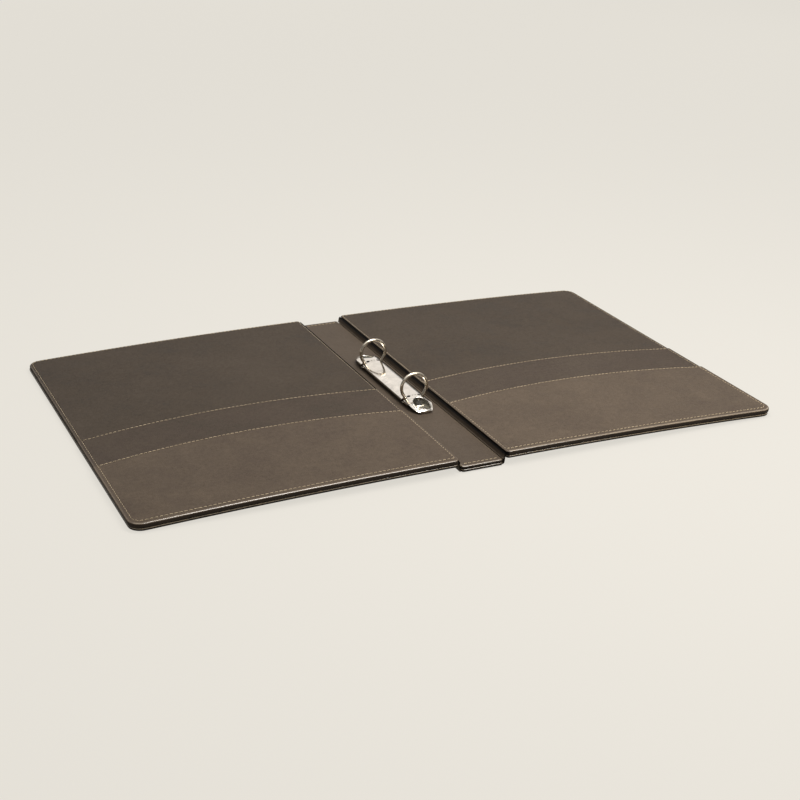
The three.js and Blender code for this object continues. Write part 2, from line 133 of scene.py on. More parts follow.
class Nodes:
    """Short way to add nodes and wire them up."""

    def __init__(self, name):
        self.mat = bpy.data.materials.new(name)
        self.mat.use_nodes = True
        self.tree = self.mat.node_tree
        self.bsdf = next(n for n in self.tree.nodes if n.type == "BSDF_PRINCIPLED")
        self.coord = self.tree.nodes.new("ShaderNodeTexCoord").outputs["Object"]

    def add(self, kind, **given):
        """A node with its properties (all lower case) and its sockets filled in."""
        node = self.tree.nodes.new("ShaderNode" + kind)
        for key, value in given.items():
            if key.islower():
                setattr(node, key, value)
            else:
                self.put(node.inputs[key], value)
        return node

    def put(self, socket, value):
        if isinstance(value, bpy.types.NodeSocket):
            self.tree.links.new(value, socket)
        else:
            socket.default_value = value

    def noise(self, scale, detail=3.0, rough=0.5, vector=None, distortion=0.0):
        n = self.add("TexNoise", Scale=scale, Detail=detail, Roughness=rough, Distortion=distortion,
                     Vector=vector or self.coord)
        return n.outputs["Fac"]

    def voronoi(self, scale, feature="F1", vector=None):
        n = self.add("TexVoronoi", feature=feature, Scale=scale, Vector=vector or self.coord)
        return n.outputs["Distance"]

    def math(self, op, a, b=0.0, c=0.0):
        n = self.add("Math", operation=op)
        for socket, value in zip(n.inputs, (a, b, c)):
            self.put(socket, value)
        return n.outputs[0]

    def ramp(self, fac, *stops):
        n = self.add("ValToRGB", Fac=fac)
        els = n.color_ramp.elements
        while len(els) < len(stops):
            els.new(0.5)
        for el, (pos, value) in zip(els, stops):
            el.position = pos
            el.color = value if hasattr(value, "__len__") else (value, value, value, 1.0)
        return n.outputs["Color"]

    def mix(self, fac, a, b, blend="MIX"):
        n = self.add("Mix", data_type="RGBA", blend_type=blend, Factor=fac)
        self.put(n.inputs[6], a)
        self.put(n.inputs[7], b)
        return n.outputs[2]

    def attribute(self, name):
        return self.add("Attribute", attribute_name=name).outputs["Fac"]

    def bump(self, height, strength, distance, normal=None):
        n = self.add("Bump", Strength=strength, Distance=distance, Height=height)
        if normal is not None:
            self.put(n.inputs["Normal"], normal)
        return n.outputs["Normal"]

    def surface(self, **sockets):
        for key, value in sockets.items():
            self.put(self.bsdf.inputs[key.replace("_", " ")], value)
        return self.mat


def leather(name, dark, mid, light):
    """Smooth-grained leather: fine pebble, drawn creases and slow mottling. The attribute read here holds,
    above 0, the rub of a handled edge together with a painted highlight on rounded rims; from 0 down to -1,
    painted shade on rim walls, in the gaps under rims and along pocket edges; below -1, deeper painted shade
    in the gutter, down to near black."""
    n = Nodes(name)
    cloudy = n.noise(9.0, 4.0, 0.55)
    patches = n.noise(42.0, 5.0, 0.6, distortion=0.4)
    fine = n.noise(900.0, 3.0, 0.6)
    speckle = n.noise(330.0, 4.0, 0.7)
    tone = n.math("ADD", n.math("MULTIPLY", cloudy, 0.25), n.math("MULTIPLY", patches, 0.3))
    tone = n.math("ADD", tone, n.math("MULTIPLY", speckle, 0.4))
    tone = n.math("ADD", tone, n.math("MULTIPLY", fine, 0.05))
    colour = n.ramp(tone, (0.38, dark), (0.5, mid), (0.62, light))
    pebble = n.voronoi(1250.0, "SMOOTH_F1")
    cracks = n.voronoi(820.0, "DISTANCE_TO_EDGE", n.mix(0.35, n.coord, warp(n), "ADD"))
    valley = n.ramp(cracks, (0.0, 0.0), (0.14, 1.0))
    colour = n.mix(n.math("MULTIPLY", n.math("SUBTRACT", 1.0, valley), 0.22), colour, srgb(34, 29, 24))
    wear_and_painted_light = n.attribute("wear_and_painted_light")
    rubbed_and_highlight = n.math("MAXIMUM", wear_and_painted_light, 0.0)
    worn_and_highlight = n.math("MULTIPLY", rubbed_and_highlight, n.ramp(n.noise(260.0, 4.0, 0.7), (0.3, 0.35), (0.62, 1.0)))
    # painted highlight: rims are mixed towards a pale tan, partly real rub and partly standing in for light
    # caught on the rounded edge
    colour = n.mix(n.math("MULTIPLY", worn_and_highlight, 0.6), colour, srgb(146, 128, 102))
    burnished = n.math("MINIMUM", n.math("MULTIPLY", rubbed_and_highlight, 1.25), 1.0)
    painted_shade = n.math("MAXIMUM", n.math("MULTIPLY", wear_and_painted_light, -1.0), 0.0)
    # painted shade: rim walls, gaps under the rims and pocket edges go dark brown
    colour = n.mix(n.math("MULTIPLY", painted_shade, 0.97), colour, srgb(21, 17, 14))
    # painted shade: past -1 the gutter goes nearly black
    colour = n.mix(n.math("SUBTRACT", painted_shade, 1.0), colour, srgb(3, 2, 2))
    roughness = n.math("ADD", n.math("MULTIPLY", patches, 0.16), 0.42)
    roughness = n.math("ADD", roughness, n.math("MULTIPLY", n.math("SUBTRACT", 1.0, valley), 0.12))
    height = n.math("ADD", n.math("MULTIPLY", valley, 0.6), n.math("MULTIPLY", pebble, -0.5))
    height = n.math("ADD", height, n.math("MULTIPLY", fine, 0.35))
    normal = n.bump(height, 0.28, 0.00012)
    soft = n.bump(n.noise(60.0, 3.0, 0.5), 0.25, 0.0009, normal)
    return n.surface(Base_Color=colour, Roughness=roughness, Normal=soft, Specular_IOR_Level=0.05,
                     Coat_Weight=burnished, Coat_Roughness=0.22, Coat_IOR=1.85)


def warp(n):
    """A small shift of the coordinates, so that the creases wander."""
    node = n.add("TexNoise", Scale=300.0, Vector=n.coord)
    scaled = n.add("VectorMath", operation="SCALE", Scale=0.002)
    n.put(scaled.inputs[0], node.outputs["Color"])
    return scaled.outputs[0]


def thread_material():
    n = Nodes("waxed_thread")
    twist = n.add("TexWave", wave_type="BANDS", bands_direction="DIAGONAL", Scale=900.0, Distortion=1.0,
                  Vector=n.coord)
    tone = n.noise(120.0, 2.0)
    colour = n.ramp(tone, (0.3, srgb(150, 133, 104)), (0.7, srgb(184, 166, 136)))
    colour = n.mix(n.math("MULTIPLY", twist.outputs["Fac"], 0.3), colour, srgb(122, 105, 80))
    return n.surface(Base_Color=colour, Roughness=0.62, Sheen_Weight=0.2, Sheen_Roughness=0.5,
                     Normal=n.bump(twist.outputs["Fac"], 0.5, 0.00008))


def nickel_material(name, low, high, rough):
    """Drawn, polished metal with faint smudges; where the attribute read here is below 0, inside the pressed
    cups, the colour is painted shade: a duller, darker grey for their dim reflection.
    """
    n = Nodes(name)
    stretched = n.add("Mapping", Scale=(1.0, 0.06, 1.0), Vector=n.coord)
    drawn = n.noise(2600.0, 3.0, 0.6, stretched.outputs[0])
    smudge = n.noise(95.0, 4.0, 0.62)
    rough = n.math("ADD", n.math("MULTIPLY", n.ramp(smudge, (0.42, 0.0), (0.72, 1.0)), 0.09), rough)
    rough = n.math("ADD", rough, n.math("MULTIPLY", drawn, 0.03))
    colour = n.ramp(smudge, (0.3, high), (0.75, low))
    cup_shade = n.math("MAXIMUM", n.math("MULTIPLY", n.attribute("wear_and_painted_light"), -1.0), 0.0)
    # painted shade: inside the cups the metal is mixed towards a duller grey
    colour = n.mix(n.math("MULTIPLY", cup_shade, 0.8), colour, srgb(190, 187, 176))
    return n.surface(Base_Color=colour, Metallic=1.0, Roughness=rough, Normal=n.bump(drawn, 0.08, 0.00003))


def steel_material():
    n = Nodes("plated_steel")
    stretched = n.add("Mapping", Scale=(1.0, 0.03, 1.0), Vector=n.coord)
    drawn = n.noise(3000.0, 3.0, 0.6, stretched.outputs[0])
    colour = n.ramp(n.noise(160.0, 3.0), (0.3, srgb(44, 42, 39)), (0.7, srgb(64, 61, 57)))
    rough = n.math("ADD", n.math("MULTIPLY", drawn, 0.18), 0.34)
    return n.surface(Base_Color=colour, Metallic=1.0, Roughness=rough, Normal=n.bump(drawn, 0.2, 0.00005))


def board_material():
    n = Nodes("grey_board")
    fibre = n.add("Mapping", Scale=(1.0, 0.25, 1.0), Vector=n.coord)
    flecks = n.noise(1400.0, 5.0, 0.7, fibre.outputs[0])
    colour = n.ramp(flecks, (0.3, srgb(120, 112, 99)), (0.55, srgb(158, 149, 134)),
                    (0.72, srgb(190, 182, 168)))
    return n.surface(Base_Color=colour, Roughness=0.92, Normal=n.bump(flecks, 0.5, 0.0001))


OUTER = leather("leather_outer", srgb(52, 44, 38), srgb(58, 52, 43), srgb(65, 57, 49))
LINING = leather("leather_lining", srgb(53, 47, 41), srgb(61, 53, 45), srgb(67, 59, 51))
SPINE_LINING = leather("leather_spine_lining", srgb(69, 60, 52), srgb(74, 65, 56), srgb(79, 69, 60))
POCKET_TALL = leather("leather_tall_pocket", srgb(56, 50, 42), srgb(64, 55, 48), srgb(70, 62, 53))
POCKET = leather("leather_short_pocket", srgb(69, 59, 51), srgb(77, 67, 57), srgb(85, 74, 63))
THREAD = thread_material()
NICKEL = nickel_material("bright_nickel", srgb(205, 199, 190), srgb(226, 221, 213), 0.075)
WIRE = nickel_material("polished_wire", srgb(214, 203, 185), srgb(236, 226, 209), 0.13)
STEEL = steel_material()
BOARD = board_material()

# ---------------------------------------------------------------- mesh helpers
def mesh_object(name, verts, faces, material, wear_and_painted_light=None, smooth=True):
    """An object from points in millimetres."""
    me = bpy.data.meshes.new(name)
    me.from_pydata([tuple(v) for v in np.asarray(verts) * MM], [], faces)
    me.validate()
    if wear_and_painted_light is not None:
        attribute = me.attributes.new("wear_and_painted_light", "FLOAT", "POINT")
        attribute.data.foreach_set("value", np.asarray(wear_and_painted_light, np.float32))
    if smooth:
        me.polygons.foreach_set("use_smooth", [True] * len(me.polygons))
    me.materials.append(material)
    return new_object(name, me)


@contextmanager
def editing(me):
    """The mesh as a bmesh, written back at the end."""
    bm = bmesh.new()
    bm.from_mesh(me)
    yield bm
    bm.to_mesh(me)
    bm.free()


def fix_normals(ob):
    with editing(ob.data) as bm:
        bmesh.ops.remove_doubles(bm, verts=bm.verts, dist=2e-7)
        bmesh.ops.recalc_face_normals(bm, faces=bm.faces)


def turn_sheet(ob, hidden_up):
    """Makes a sheet's faces look away from its hidden side: +1 if that lies above, -1 if below."""
    with editing(ob.data) as bm:
        bmesh.ops.recalc_face_normals(bm, faces=bm.faces)
        if sum(f.normal.z * f.calc_area() for f in bm.faces) * hidden_up > 0:
            bmesh.ops.reverse_faces(bm, faces=bm.faces)


def bake(ob):
    """Applies the object's modifiers to its mesh."""
    dg = bpy.context.evaluated_depsgraph_get()
    me = bpy.data.meshes.new_from_object(ob.evaluated_get(dg))
    ob.modifiers.clear()
    ob.data = me
    return ob


def soften(ob, width):
    """A small round on the object's sharp edges."""
    edge = ob.modifiers.new("edge", "BEVEL")
    edge.width = width * MM
    edge.segments = 2
    edge.limit_method = "ANGLE"
    edge.angle_limit = math.radians(50)


def circle(n):
    """Cosine and sine of n even steps round."""
    return [(math.cos(2 * math.pi * k / n), math.sin(2 * math.pi * k / n)) for k in range(n)]


def tube_faces(rows, n, base=0):
    """Quads between rows of n points each, closed round."""
    faces = []
    for i in range(rows - 1):
        near, far = base + i * n, base + (i + 1) * n
        faces += [(near + k, near + (k + 1) % n, far + (k + 1) % n, far + k) for k in range(n)]
    return faces


def mirrored(verts):
    return np.asarray(verts) * np.array([-1.0, 1.0, 1.0])


# ---------------------------------------------------------------- leather panels
def bow(spec, u):
    """Where a pocket's edge lies at u."""
    return spec[0] + spec[1] * (1 - (2 * u / COVER_W - 1) ** 2)


def arch_of(u):
    """How far a cover's middle rises above its two edges."""
    t = np.clip(u / COVER_W, 0, 1)
    return ARCH * (1 - (2 * t - 1) ** 2)


class Panel:
    """A rounded panel in its own plane: u across, v along the spine, w up."""

    def __init__(self, width, r_in, r_out, cols, rows, arc=6, spec=None):
        self.width, self.r_in, self.r_out = width, r_in, r_out
        self.cols, self.arc, self.spec = cols, arc, spec
        if spec is None:
            self.rows = np.linspace(0, 1, rows + 1)
        else:  # measured down from the pocket's edge
            near = [0, 0.35, 0.8, 1.1, 1.35, 1.6, 1.9, 2.6, 4.0, 7.0, 12.0]
            total = HEIGHT / 2 + spec[0]
            far = np.linspace(12.0, total, rows + 1)[1:]
            self.rows = np.array([*near, *far]) / total

    def arcs(self, cu, cv, r, a0, a1, n):
        a = np.radians(np.linspace(a0, a1, n + 1))
        return np.stack([cu + r * np.cos(a), cv + r * np.sin(a)], 1)

    def chains(self, d):
        """Front, outer side, back and inner side of the outline at inset d, each from corner to corner."""
        W, H2, h = self.width, HEIGHT / 2, self.arc // 2
        ri, ro = max(self.r_in - d, 0.3), max(self.r_out - d, 0.3)
        lo, hi, f = d, W - d, -H2 + d
        line = lambda p, q, ts: np.array([[p[0] + (q[0] - p[0]) * t, p[1] + (q[1] - p[1]) * t] for t in ts])
        even = np.linspace(0, 1, self.cols + 1)[1:-1]
        front = np.concatenate([
            self.arcs(lo + ri, f + ri, ri, 225, 270, h),
            line((lo + ri, f), (hi - ro, f), even),
            self.arcs(hi - ro, f + ro, ro, 270, 315, h),
        ])
        b = -f
        if self.spec is None:
            rows, right_end, left_end = self.rows[1:-1], b - ro, b - ri
        else:
            rows, right_end, left_end = (1 - self.rows[::-1])[1:], bow(self.spec, hi), bow(self.spec, lo)
        right = [self.arcs(hi - ro, f + ro, ro, 315, 360, h), line((hi, f + ro), (hi, right_end), rows)]
        left = [self.arcs(lo + ri, f + ri, ri, 225, 180, h), line((lo, f + ri), (lo, left_end), rows)]
        if self.spec is None:
            right.append(self.arcs(hi - ro, b - ro, ro, 0, 45, h))
            left.append(self.arcs(lo + ri, b - ri, ri, 180, 135, h))
            back = np.concatenate([
                self.arcs(lo + ri, b - ri, ri, 135, 90, h),
                line((lo + ri, b), (hi - ro, b), even),
                self.arcs(hi - ro, b - ro, ro, 90, 45, h),
            ])
        else:
            us = np.linspace(lo, hi, len(front))
            back = np.stack([us, bow(self.spec, us)], 1)
        return front, np.concatenate(right), back, np.concatenate(left)

    def surface(self, rings, shape):
        """One sheet: rings of (inset, w, wear and painted light) from the turned-under lip to the field, then
        a filled field.
        shape(u, v, w, top) gives the final w, with top 1 on the face and 0 on the wall."""
        verts, wear_and_painted_light, faces = [], [], []
        closed = self.spec is None
        count = 0
        for d, w, k, top in rings:
            front, right, back, left = self.chains(d)
            if closed:
                loop = np.concatenate([front, right[1:], back[::-1][1:], left[::-1][1:-1]])
            else:
                loop = np.concatenate([left[::-1], front[1:], right[1:]])
            n = len(loop)
            for u, v in loop:
                verts.append((u, v, shape(u, v, w, top)))
                wear_and_painted_light.append(k)
            if count:
                base, prev = count, count - n
                span = n if closed else n - 1
                for i in range(span):
                    j = (i + 1) % n
                    faces.append((prev + i, prev + j, base + j, base + i))
            count += n
        nc, nr = len(front) - 1, len(left) - 1  # of the innermost ring
        base = count - n
        index = np.zeros((nr + 1, nc + 1), int)
        if closed:
            for i in range(nc + 1):
                index[0, i] = base + i
                index[nr, i] = base + nc + nr + (nc - i)
            for j in range(nr + 1):
                index[j, nc] = base + nc + j
                index[j, 0] = base if j == 0 else base + 2 * nc + nr + (nr - j)
        else:
            for j in range(nr + 1):
                index[j, 0] = base + (nr - j)
                index[j, nc] = base + nr + nc + j
            for i in range(nc + 1):
                index[0, i] = base + nr + i
        s_all = np.linspace(0, 1, nc + 1)
        seg = np.linalg.norm(np.diff(left, axis=0), axis=1)
        t_all = np.concatenate([[0], np.cumsum(seg)]) / seg.sum()
        c00, c10, c01, c11 = front[0], front[-1], back[0], back[-1]
        for j in range(1, nr + (0 if closed else 1)):
            t = t_all[j]
            for i in range(1, nc):
                s = s_all[i]
                p = (1 - t) * front[i] + t * back[i] + (1 - s) * left[j] + s * right[j]
                p = p - ((1 - s) * (1 - t) * c00 + s * (1 - t) * c10 + (1 - s) * t * c01 + s * t * c11)
                index[j, i] = len(verts)
                verts.append((p[0], p[1], shape(p[0], p[1], w, top)))
                wear_and_painted_light.append(k)
        for j in range(nr):
            for i in range(nc):
                faces.append((index[j, i], index[j, i + 1], index[j + 1, i + 1], index[j + 1, i]))
        return np.array(verts), faces, np.array(wear_and_painted_light)


def place_cover(p):
    u, v, w = p[:, 0], p[:, 1], p[:, 2]
    return np.stack([
        COVER_X + u * math.cos(TILT) + w * math.sin(TILT),
        v,
        LIFT - u * math.sin(TILT) + w * math.cos(TILT),
    ], 1)


def place_spine(p):
    return np.stack([p[:, 0] - SPINE_W / 2, p[:, 1], p[:, 2]], 1)


def groove(x, depth, half):
    return -depth * math.exp(-((x / half) ** 2))


def seam_distance(u, v):
    """Distance from the seam round a cover, whose outer corners are round."""
    u0, u1, v0, v1 = SEAM_BOX
    du, dv = abs(u - (u0 + u1) / 2) - (u1 - u0) / 2, abs(v - (v0 + v1) / 2) - (v1 - v0) / 2
    if u > COVER_W / 2 and du > -SEAM_RADIUS and dv > -SEAM_RADIUS:
        return math.hypot(du + SEAM_RADIUS, dv + SEAM_RADIUS) - SEAM_RADIUS
    return max(du, dv)


def ripple(u, v, seed):
    """Slow unevenness of a hand-laid skin, well under a millimetre."""
    a = math.sin(u * 0.031 + seed) * math.sin(v * 0.024 + 1.7 * seed)
    b = math.sin(u * 0.083 + v * 0.041 + 2.3 * seed)
    c = math.sin(v * 0.097 - u * 0.052 + 0.6 * seed)
    return 0.055 * a + 0.022 * b + 0.018 * c


FIELD_RINGS = ((1.8, 0.05), (2.2, 0.06), (2.6, 0.06), (3.0, 0.06), (3.4, 0.05), (3.9, 0.04), (4.2, 0.03),
               (4.45, 0.03), (4.8, 0.02), (5.2, 0.02), (5.9, 0.02), (7.2, 0.02), (10.0, 0.0), (14.0, 0.0))


def upper_rings(proud, top):
    """Border of an upper skin, from the lip under the rim over to the field. proud moves the wall outwards.
    Each ring is inset, height, wear and painted light (above 0 rub plus a painted highlight on the rounded
    edge, below 0 painted shade on the rim's wall and in the gap under it) and share of the face's own shape."""
    p = -proud
    return [
        (3.4, 2.64, -0.9, 0.0),
        (1.6, 2.64, -0.9, 0.0),
        (0.9 + p, 2.68, -1.0, 0.0),
        (0.42 + p, 2.84, -1.0, 0.0),
        (0.1 + p, 3.14, -0.9, 0.0),
        (0.0 + p, 3.55, -0.75, 0.0),
        (0.03 + p, top - 1.15, -0.8, 0.0),
        (0.14 + p, top - 0.75, -0.6, 0.0),
        (0.34 + p, top - 0.42, 0.3, 0.0),
        (0.64 + p, top - 0.18, 1.0, 0.05),
        (0.98 + p, top - 0.04, 0.6, 0.3),
        (1.35 + 0.5 * p, top + 0.02, 0.05, 0.7),
    ] + [(inset, top + rise, 0.0, 1.0) for inset, rise in FIELD_RINGS]


EDGE_BAND, CUT_EDGE, GUTTER_WALL = 2.0, 0.3, 1.0  # mm in from an edge
GUTTER_WEAR_AND_HIGHLIGHT, FAR_WEAR_AND_HIGHLIGHT, RIGHT_FRONT_HIGHLIGHT, SPINE_BACK_WEAR_AND_HIGHLIGHT = 0.2, 0.4, 1.35, 0.3  # shares of the full wear and painted highlight; the right cover's front edge gets extra painted highlight
# how many times deeper the painted shade is on the walls next to the gutter
GUTTER_PAINTED_SHADE = 3.0
# wear and painted highlight along each lower skin's upper edge, the rim's second line
COVER_LIP_WEAR_AND_HIGHLIGHT, SPINE_LIP_WEAR_AND_HIGHLIGHT = (1.2, 1.8, 1.2), (0.4, 1.0, 0.0)


def lower_rings(proud, lip):
    """The same for a lower skin; its wall and the gap above it are painted shade. lip is the wear and painted
    highlight of its upper edge, which shows as the rim's second line.
    """
    p = -proud
    return [
        (3.4, 2.28, -0.9, 0.0),
        (1.6, 2.28, -0.9, 0.0),
        (0.85 + p, 2.26, -0.9, 0.0),
        (0.4 + p, 2.14, lip[0], 0.0),
        (0.14 + p, 1.92, lip[1], 0.0),
        (0.03 + p, 1.66, lip[2], 0.0),
        (0.0 + p, 1.3, -0.9, 0.0),
        (0.0 + p, 0.8, -1.0, 0.0),
        (0.08 + p, 0.42, -1.0, 0.0),
        (0.34 + p, 0.13, -0.6, 0.0),
        (0.8 + p, 0.0, 0.3, 0.0),
        (1.6, -0.02, 0.1, 1.0),
        (2.8, -0.02, 0.0, 1.0),
        (3.7, 0.03, 0.0, 1.0),
        (4.2, 0.16, -0.15, 1.0),
        (4.5, 0.26, -0.25, 1.0),
        (4.8, 0.16, -0.15, 1.0),
        (5.3, 0.03, 0.0, 1.0),
        (6.4, 0.0, 0.0, 1.0),
        (10.0, 0.0, 0.0, 1.0),
        (14.0, 0.0, 0.0, 1.0),
    ]


def skin(name, panel, rings, shape, place, side, material):
    """The shown face of one leather, with rub and painted highlight strongest at its front edge and painted
    shade towards the gutter.
    """
    verts, faces, wear_and_painted_light = panel.surface(rings, shape)
    u, v = verts[:, 0], verts[:, 1]
    at_back = v > HEIGHT / 2 - EDGE_BAND
    if panel.spec is not None:  # the pocket's cut edge is painted dark: edge paint, and painted shade where the edge's thickness casts a thin shadow
        wear_and_painted_light = np.where(bow(panel.spec, u) - v < CUT_EDGE, -1.0, wear_and_painted_light)
    if panel.width == COVER_W:
        # less rub and painted highlight at the gutter, outer and back edges
        wear_and_painted_light = np.where((u < EDGE_BAND) & (wear_and_painted_light > 0), wear_and_painted_light * GUTTER_WEAR_AND_HIGHLIGHT, wear_and_painted_light)
        wear_and_painted_light = np.where(((u > COVER_W - EDGE_BAND) | at_back) & (wear_and_painted_light > 0), wear_and_painted_light * FAR_WEAR_AND_HIGHLIGHT, wear_and_painted_light)
        # painted shade: the walls next to the gutter are darkened further, to near black
        wear_and_painted_light = np.where((u < GUTTER_WALL) & (wear_and_painted_light < 0), wear_and_painted_light * GUTTER_PAINTED_SHADE, wear_and_painted_light)
        if side > 0:
            # painted highlight: extra on the right cover's front edge
            wear_and_painted_light = np.where((v < EDGE_BAND - HEIGHT / 2) & (wear_and_painted_light > 0), wear_and_painted_light * RIGHT_FRONT_HIGHLIGHT, wear_and_painted_light)
    else:
        wear_and_painted_light = np.where(at_back & (wear_and_painted_light > 0), wear_and_painted_light * SPINE_BACK_WEAR_AND_HIGHLIGHT, wear_and_painted_light)
    verts = place(verts)
    if side < 0:
        verts = mirrored(verts)
    return mesh_object(name, verts, faces, material, wear_and_painted_light)


def add_thickness(ob, thickness, hidden_up):
    """Turns a shown face into a leather."""
    turn_sheet(ob, hidden_up)
    solid = ob.modifiers.new("thickness", "SOLIDIFY")
    solid.thickness = thickness * MM
    solid.offset = -1.0
    solid.use_even_offset = True
    solid.use_rim = True
    sub = ob.modifiers.new("smooth", "SUBSURF")
    sub.levels = sub.render_levels = 1
    return bake(ob)


def flat_top(seed, spec=None, lift=0.0):
    """The shown face of a cover's lining or pocket: arched, uneven, drawn in along its seams."""
    def shape(u, v, w, top):
        if top == 1.0:
            w += groove(seam_distance(u, v), *SEAM_DRAW)
        z = w + arch_of(u) + top * ripple(u, v, seed)
        if spec is not None:
            from_edge = bow(spec, u) - v
            z += top * groove(from_edge - EDGE_TO_SEAM, *POCKET_DRAW)
            across = max(0.0, 1 - (2 * u / COVER_W - 1) ** 2)
            z += top * lift * across * math.exp(-max(from_edge, 0.0) / LIFT_FADE)
            if from_edge < 0.36:
                z -= top * 0.07
        return z
    return shape


def low_face(u, v, w, top):
    return w + arch_of(u)


for label, side, seed in (("left", -1, 0.7), ("right", 1, 2.1)):
    body = f"{label}_cover"
    cover = lambda spec=None, rows=30: Panel(COVER_W, GUTTER_RADIUS, OUTER_RADIUS, 30, rows, 8, spec)
    pieces = [
        (f"{label}_cover_outer_skin", cover(), lower_rings(0.15, COVER_LIP_WEAR_AND_HIGHLIGHT),
         low_face, OUTER, OUTER_SHEET, 1, f"{label}_cover_outer_leather", "leather_outer"),
        (f"{label}_cover_lining_skin", cover(), upper_rings(-0.2, LINING_TOP),
         flat_top(seed), LINING, LINING_SHEET, -1, f"{label}_cover_lining", "leather_lining"),
        (f"{label}_tall_pocket_skin", cover(TALL, 14), upper_rings(0.28, TALL_TOP),
         flat_top(seed, TALL, TALL_LIFT), POCKET_TALL, POCKET_SHEET, -1,
         f"{label}_tall_pocket", "leather_pocket"),
        (f"{label}_short_pocket_skin", cover(SHORT, 10), upper_rings(0.74, SHORT_TOP),
         flat_top(seed, SHORT, SHORT_LIFT), POCKET, POCKET_SHEET, -1,
         f"{label}_short_pocket", "leather_pocket"),
    ]
    for name, panel, rings, shape, material, thick, way, node, slot_name in pieces:
        ob = skin(name, panel, rings, shape, place_cover, side, material)
        add_thickness(ob, thick, way)
        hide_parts(node)
        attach(ob, body)


def end_seam(sign):
    """The spine's faces: flat, drawn in along the seam at each end."""
    def shape(u, v, w, top):
        from_end = HEIGHT / 2 - abs(v)
        inside = 1.0 if 4.0 < u < SPINE_W - 4.0 else 0.0
        return w + sign * top * inside * groove(from_end - SEAM_IN, *END_DRAW)
    return shape


class SpinePanel(Panel):
    """Extra rows near the ends, where the end seams are."""

    def __init__(self, *args, **kwargs):
        super().__init__(*args, **kwargs)
        near = np.array([0, 0.6, 1.6, 2.4, 2.9, 3.3, 3.8, 5.0, 9.0, 16.0]) / (HEIGHT - 5.0)
        mid = np.linspace(near[-1], 1 - near[-1], 26)[1:-1]
        self.rows = np.concatenate([near, mid, 1 - near[::-1]])


spine_panel = SpinePanel(SPINE_W, SPINE_RADIUS, SPINE_RADIUS, 10, 10, 8)
spine_top = [x for x in upper_rings(-0.15, SPINE_TOP) if x[0] <= 2.4]
spine_low = [x for x in lower_rings(0.0, SPINE_LIP_WEAR_AND_HIGHLIGHT) if x[0] <= 1.6]
for name, rings, sign, material, thick, way, node, slot_name in (
    ("spine_outer_skin", spine_low, -1, OUTER, OUTER_SHEET, 1, "spine_outer_leather", "leather_outer"),
    ("spine_lining_skin", spine_top, 1, SPINE_LINING, LINING_SHEET, -1, "spine_lining", "leather_lining"),
):
    ob = skin(name, spine_panel, rings, end_seam(sign), place_spine, 1, material)
    add_thickness(ob, thick, way)
    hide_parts(node)
    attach(ob, "spine")

# ---------------------------------------------------------------- leather hinges
OUTER_HINGE = [(17.5, 0.33), (18.15, 0.42), (18.62, 0.8), (18.92, 1.5), (19.08, 2.6), (19.2, 3.9),
               (19.34, 5.2), (19.42, 6.5)]
LINING_HINGE = [(17.5, 4.5), (17.92, 4.68), (18.18, 5.2), (18.32, 6.1), (18.46, 7.1), (18.72, 7.9),
                (19.1, 8.45), (19.55, 8.72)]
HINGE_HALF = 0.27  # half the strip's thickness
HINGE_END_PINCH = 0.86
SHADE_AT = (0.3, 0.5, 0.72, 0.9)  # across a strip, from the spine's side to the cover's
# painted shade across each strip: the lining strip goes from none to black deep in the gutter, the outer
# strip is darkened evenly
OUTER_HINGE_SHADE, LINING_HINGE_SHADE = (0.3, 0.3, 0.3, 0.3), (-0.1, 0.1, 0.8, 2.0)


def smooth_line(points, n):
    """Catmull-Rom through the points, evenly spread."""
    p = np.array([points[0], *points, points[-1]], float)
    out = []
    for i in range(1, len(p) - 2):
        for t in np.linspace(0, 1, n, endpoint=False):
            a, b, c, d = p[i - 1], p[i], p[i + 1], p[i + 2]
            out.append(0.5 * (2 * b + (c - a) * t + (2 * a - 5 * b + 4 * c - d) * t**2
                              + (3 * b - a - 3 * c + d) * t**3))
    out.append(p[-2])
    return np.array(out)


def hinge_piece(name, points, side, node, material, painted_shade):
    """A leather strip along the gutter, bent between spine and cover. The last argument is the painted shade
    across it, for the gutter's shadow.
    """
    line = smooth_line(points, 4)
    tangent = np.gradient(line, axis=0)
    tangent /= np.linalg.norm(tangent, axis=1)[:, None]
    normal = np.stack([-tangent[:, 1], tangent[:, 0]], 1)
    section = np.concatenate([line - normal * HINGE_HALF, (line + normal * HINGE_HALF)[::-1]])
    tip = [HINGE_END - 0.8, HINGE_END - 0.2, HINGE_END]
    ys = np.concatenate([[-y for y in reversed(tip)], np.linspace(-154, 154, 60), tip])
    verts = []
    m = len(section)
    for k, y in enumerate(ys):
        pinch = HINGE_END_PINCH if k in (0, len(ys) - 1) else 1.0
        for q, (x, z) in enumerate(section):
            lx, lz = line[q] if q < len(line) else line[m - 1 - q]
            wave = 0.05 * math.sin(y * 0.11 + q * 0.3) + 0.03 * math.sin(y * 0.37)
            verts.append((lx + (x - lx) * pinch + wave * 0.6, y, lz + (z - lz) * pinch))
    faces = tube_faces(len(ys), m)
    last = (len(ys) - 1) * m
    for q in range(m // 2 - 1):  # end caps as strips across the thickness
        faces.append((q, m - 1 - q, m - 2 - q, q + 1))
        faces.append((last + q, last + q + 1, last + m - 2 - q, last + m - 1 - q))
    verts = np.array(verts)
    if side < 0:
        verts = mirrored(verts)
    across = np.linspace(0, 1, len(line))
    dark = np.interp(np.concatenate([across, across[::-1]]), SHADE_AT, painted_shade)
    ob = mesh_object(name, verts, faces, material, -np.tile(dark, len(ys)))
    fix_normals(ob)
    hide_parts(node)
    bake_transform(ob)


